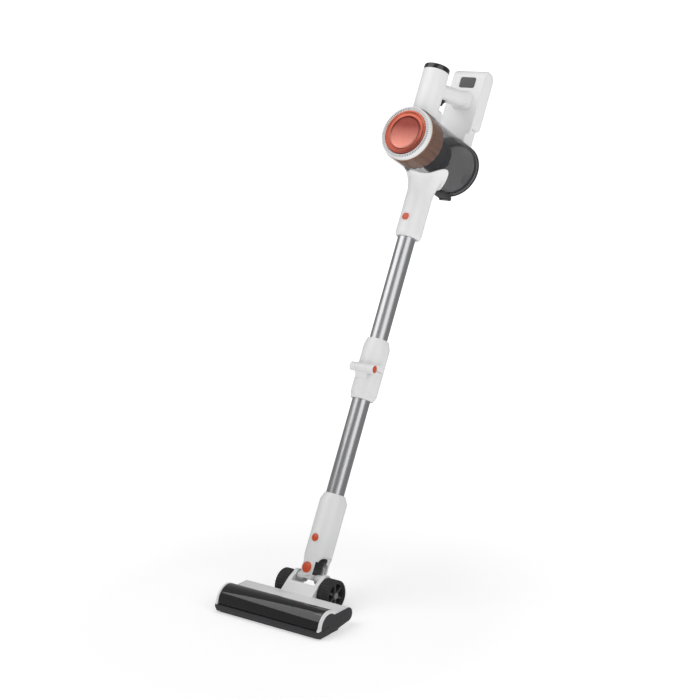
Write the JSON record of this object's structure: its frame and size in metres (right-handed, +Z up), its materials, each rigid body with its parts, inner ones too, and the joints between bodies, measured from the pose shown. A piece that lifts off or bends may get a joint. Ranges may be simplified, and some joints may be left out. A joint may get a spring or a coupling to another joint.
{
  "type": "cordless stick vacuum",
  "caption": "Cordless stick vacuum with a powered floor head on a tilting, swivelling neck, a folding wand and a detachable handheld unit with dust cup and battery.",
  "frame": {"origin": "on the sole plate's flat underside, on the head's middle plane, 24 mm behind the brush axis; the floor is z = 0", "axes": "+Z up, -Y towards the front of the floor head, +X across the head"},
  "size_m": [0.24, 0.7032, 0.9874],
  "materials": {
    "white_plastic": "gloss moulded ABS",
    "orange_plastic": "gloss moulded",
    "coral_metal": "metallic lacquer over a turned dish",
    "dark_plastic": "fine grained",
    "black_gloss": "high gloss",
    "smoke_clear": "smoked transparent polycarbonate",
    "copper_plastic": "metallic copper paint",
    "tube_aluminium": "brushed and clear anodised",
    "steel": "ground",
    "black_rubber": "matt",
    "hose_rubber": "ribbed",
    "bristle_fibre": "soft nylon nap",
    "filter_paper": "pleated",
    "board_green": "solder mask",
    "cell_wrap": "shrink film",
    "light_grey": "satin"
  },
  "bodies": {
    "floor_head": {"head_housing": "white_plastic", "sole_plate": "dark_plastic", "brush_window": "smoke_clear", "front_bumper": "dark_plastic", "left_side_cap": "white_plastic", "right_side_cap": "white_plastic", "side_panels": "dark_plastic", "brush_bearings": "steel", "brush_motor": "steel", "drive_belt": "black_rubber", "suction_duct": "hose_rubber", "wheel_axles": "steel", "tilt_pins": "steel", "head_screws": "steel"},
    "brush": {"brush_core": "dark_plastic", "brush_bristles": "bristle_fibre", "brush_pulley": "dark_plastic"},
    "motor_pulley": {"motor_pulley": "steel"},
    "left_wheel": {"left_wheel_hub": "dark_plastic", "left_wheel_tyre": "black_rubber"},
    "right_wheel": {"right_wheel_hub": "dark_plastic", "right_wheel_tyre": "black_rubber"},
    "knuckle": {"tilt_knuckle": "white_plastic", "swivel_pins": "steel"},
    "neck": {"lower_neck": "white_plastic", "swivel_cap": "orange_plastic", "neck_hose": "hose_rubber"},
    "head_button": {"head_button": "orange_plastic"},
    "lower_wand": {"lower_tube": "tube_aluminium", "lower_hinge_housing": "white_plastic", "fold_pin": "steel", "fold_seal": "black_rubber"},
    "upper_wand": {"upper_hinge_housing": "white_plastic", "upper_tube": "tube_aluminium"},
    "fold_button": {"fold_button": "orange_plastic"},
    "main_unit": {"upper_neck": "white_plastic", "dust_cup": "smoke_clear", "cyclone_body": "copper_plastic", "cyclone_shroud": "dark_plastic", "motor_housing": "white_plastic", "motor_stator": "steel", "top_cap": "black_gloss", "hand_grip": "white_plastic", "battery_bay": "white_plastic", "control_board": "board_green", "lid_hinge": "dark_plastic"},
    "wand_button": {"wand_button": "orange_plastic"},
    "trigger": {"trigger": "black_gloss", "trigger_spring": "steel"},
    "impeller": {"impeller": "steel"},
    "lid": {"cup_lid": "smoke_clear", "lid_seal": "black_rubber"},
    "lid_latch": {"lid_latch": "light_grey"},
    "filter_cover": {"cover_ring": "white_plastic", "cover_disc": "coral_metal", "hepa_filter": "filter_paper"},
    "battery": {"battery_case": "white_plastic", "battery_cells": "cell_wrap", "charge_socket": "black_gloss"},
    "battery_button": {"battery_button": "black_gloss"}
  },
  "joints": [
    {"name": "neck_tilt", "type": "hinge", "parent": "floor_head", "child": "knuckle", "pos_m": [0, 0.081, 0.05], "axis": [1, 0, 0], "range_deg": [-45, 27.35]},
    {"name": "neck_swivel", "type": "hinge", "parent": "knuckle", "child": "neck", "pos_m": [0, 0.08881, 0.0651], "axis": [0, 0.8882, -0.4594], "range_deg": [-40, 40]},
    {"name": "brush_roll", "type": "hinge", "parent": "floor_head", "child": "brush", "pos_m": [0, -0.024, 0.019], "axis": [1, 0, 0], "continuous": true},
    {"name": "motor_pulley_spin", "type": "hinge", "parent": "floor_head", "child": "motor_pulley", "pos_m": [0, 0.024, 0.02], "axis": [1, 0, 0], "continuous": true},
    {"name": "left_wheel_spin", "type": "hinge", "parent": "floor_head", "child": "left_wheel", "pos_m": [0, 0.0765, 0.0295], "axis": [1, 0, 0], "continuous": true},
    {"name": "right_wheel_spin", "type": "hinge", "parent": "floor_head", "child": "right_wheel", "pos_m": [0, 0.0765, 0.0295], "axis": [1, 0, 0], "continuous": true},
    {"name": "head_release", "type": "slide", "parent": "neck", "child": "head_button", "axis": [0, 0.8882, -0.4594], "range_m": [0, 0.0025], "stiffness_N_per_m": 400},
    {"name": "wand_pull", "type": "slide", "parent": "neck", "child": "lower_wand", "axis": [0, 0.4594, 0.8882], "range_m": [0, 0.1]},
    {"name": "wand_fold", "type": "hinge", "parent": "lower_wand", "child": "upper_wand", "pos_m": [0, 0.24478, 0.42497], "axis": [1, 0, 0], "range_deg": [0, 90]},
    {"name": "fold_release", "type": "slide", "parent": "upper_wand", "child": "fold_button", "axis": [-1, 0, 0], "range_m": [0, 0.003], "stiffness_N_per_m": 400},
    {"name": "handheld_pull", "type": "slide", "parent": "upper_wand", "child": "main_unit", "axis": [0, 0.4594, 0.8882], "range_m": [0, 0.068]},
    {"name": "wand_release", "type": "slide", "parent": "main_unit", "child": "wand_button", "axis": [0, 0.8882, -0.4594], "range_m": [0, 0.0025], "stiffness_N_per_m": 400},
    {"name": "trigger_pull", "type": "slide", "parent": "main_unit", "child": "trigger", "axis": [0, 0.2478, 0.9688], "range_m": [0, 0.0025], "stiffness_N_per_m": 300},
    {"name": "impeller_spin", "type": "hinge", "parent": "main_unit", "child": "impeller", "pos_m": [0, 0.45488, 0.8969], "axis": [0, 0.4594, 0.8882], "continuous": true},
    {"name": "lid_swing", "type": "hinge", "parent": "main_unit", "child": "lid", "pos_m": [0, 0.52911, 0.71609], "axis": [-1, 0, 0], "range_deg": [0, 90]},
    {"name": "latch_slide", "type": "slide", "parent": "main_unit", "child": "lid_latch", "axis": [0, 0.4594, 0.8882], "range_m": [0, 0.004], "stiffness_N_per_m": 200},
    {"name": "cover_pull", "type": "slide", "parent": "main_unit", "child": "filter_cover", "axis": [0, -0.8882, 0.4594], "range_m": [0, 0.06]},
    {"name": "battery_slide", "type": "slide", "parent": "main_unit", "child": "battery", "axis": [0, 0.4594, 0.8882], "range_m": [0, 0.13]},
    {"name": "battery_release", "type": "slide", "parent": "main_unit", "child": "battery_button", "axis": [0, 0.8882, -0.4594], "range_m": [0, 0.0018], "stiffness_N_per_m": 300}
  ],
  "couplings": [
    {"joint": "motor_pulley_spin", "follows": "brush_roll", "ratio": 1.6667}
  ]
}
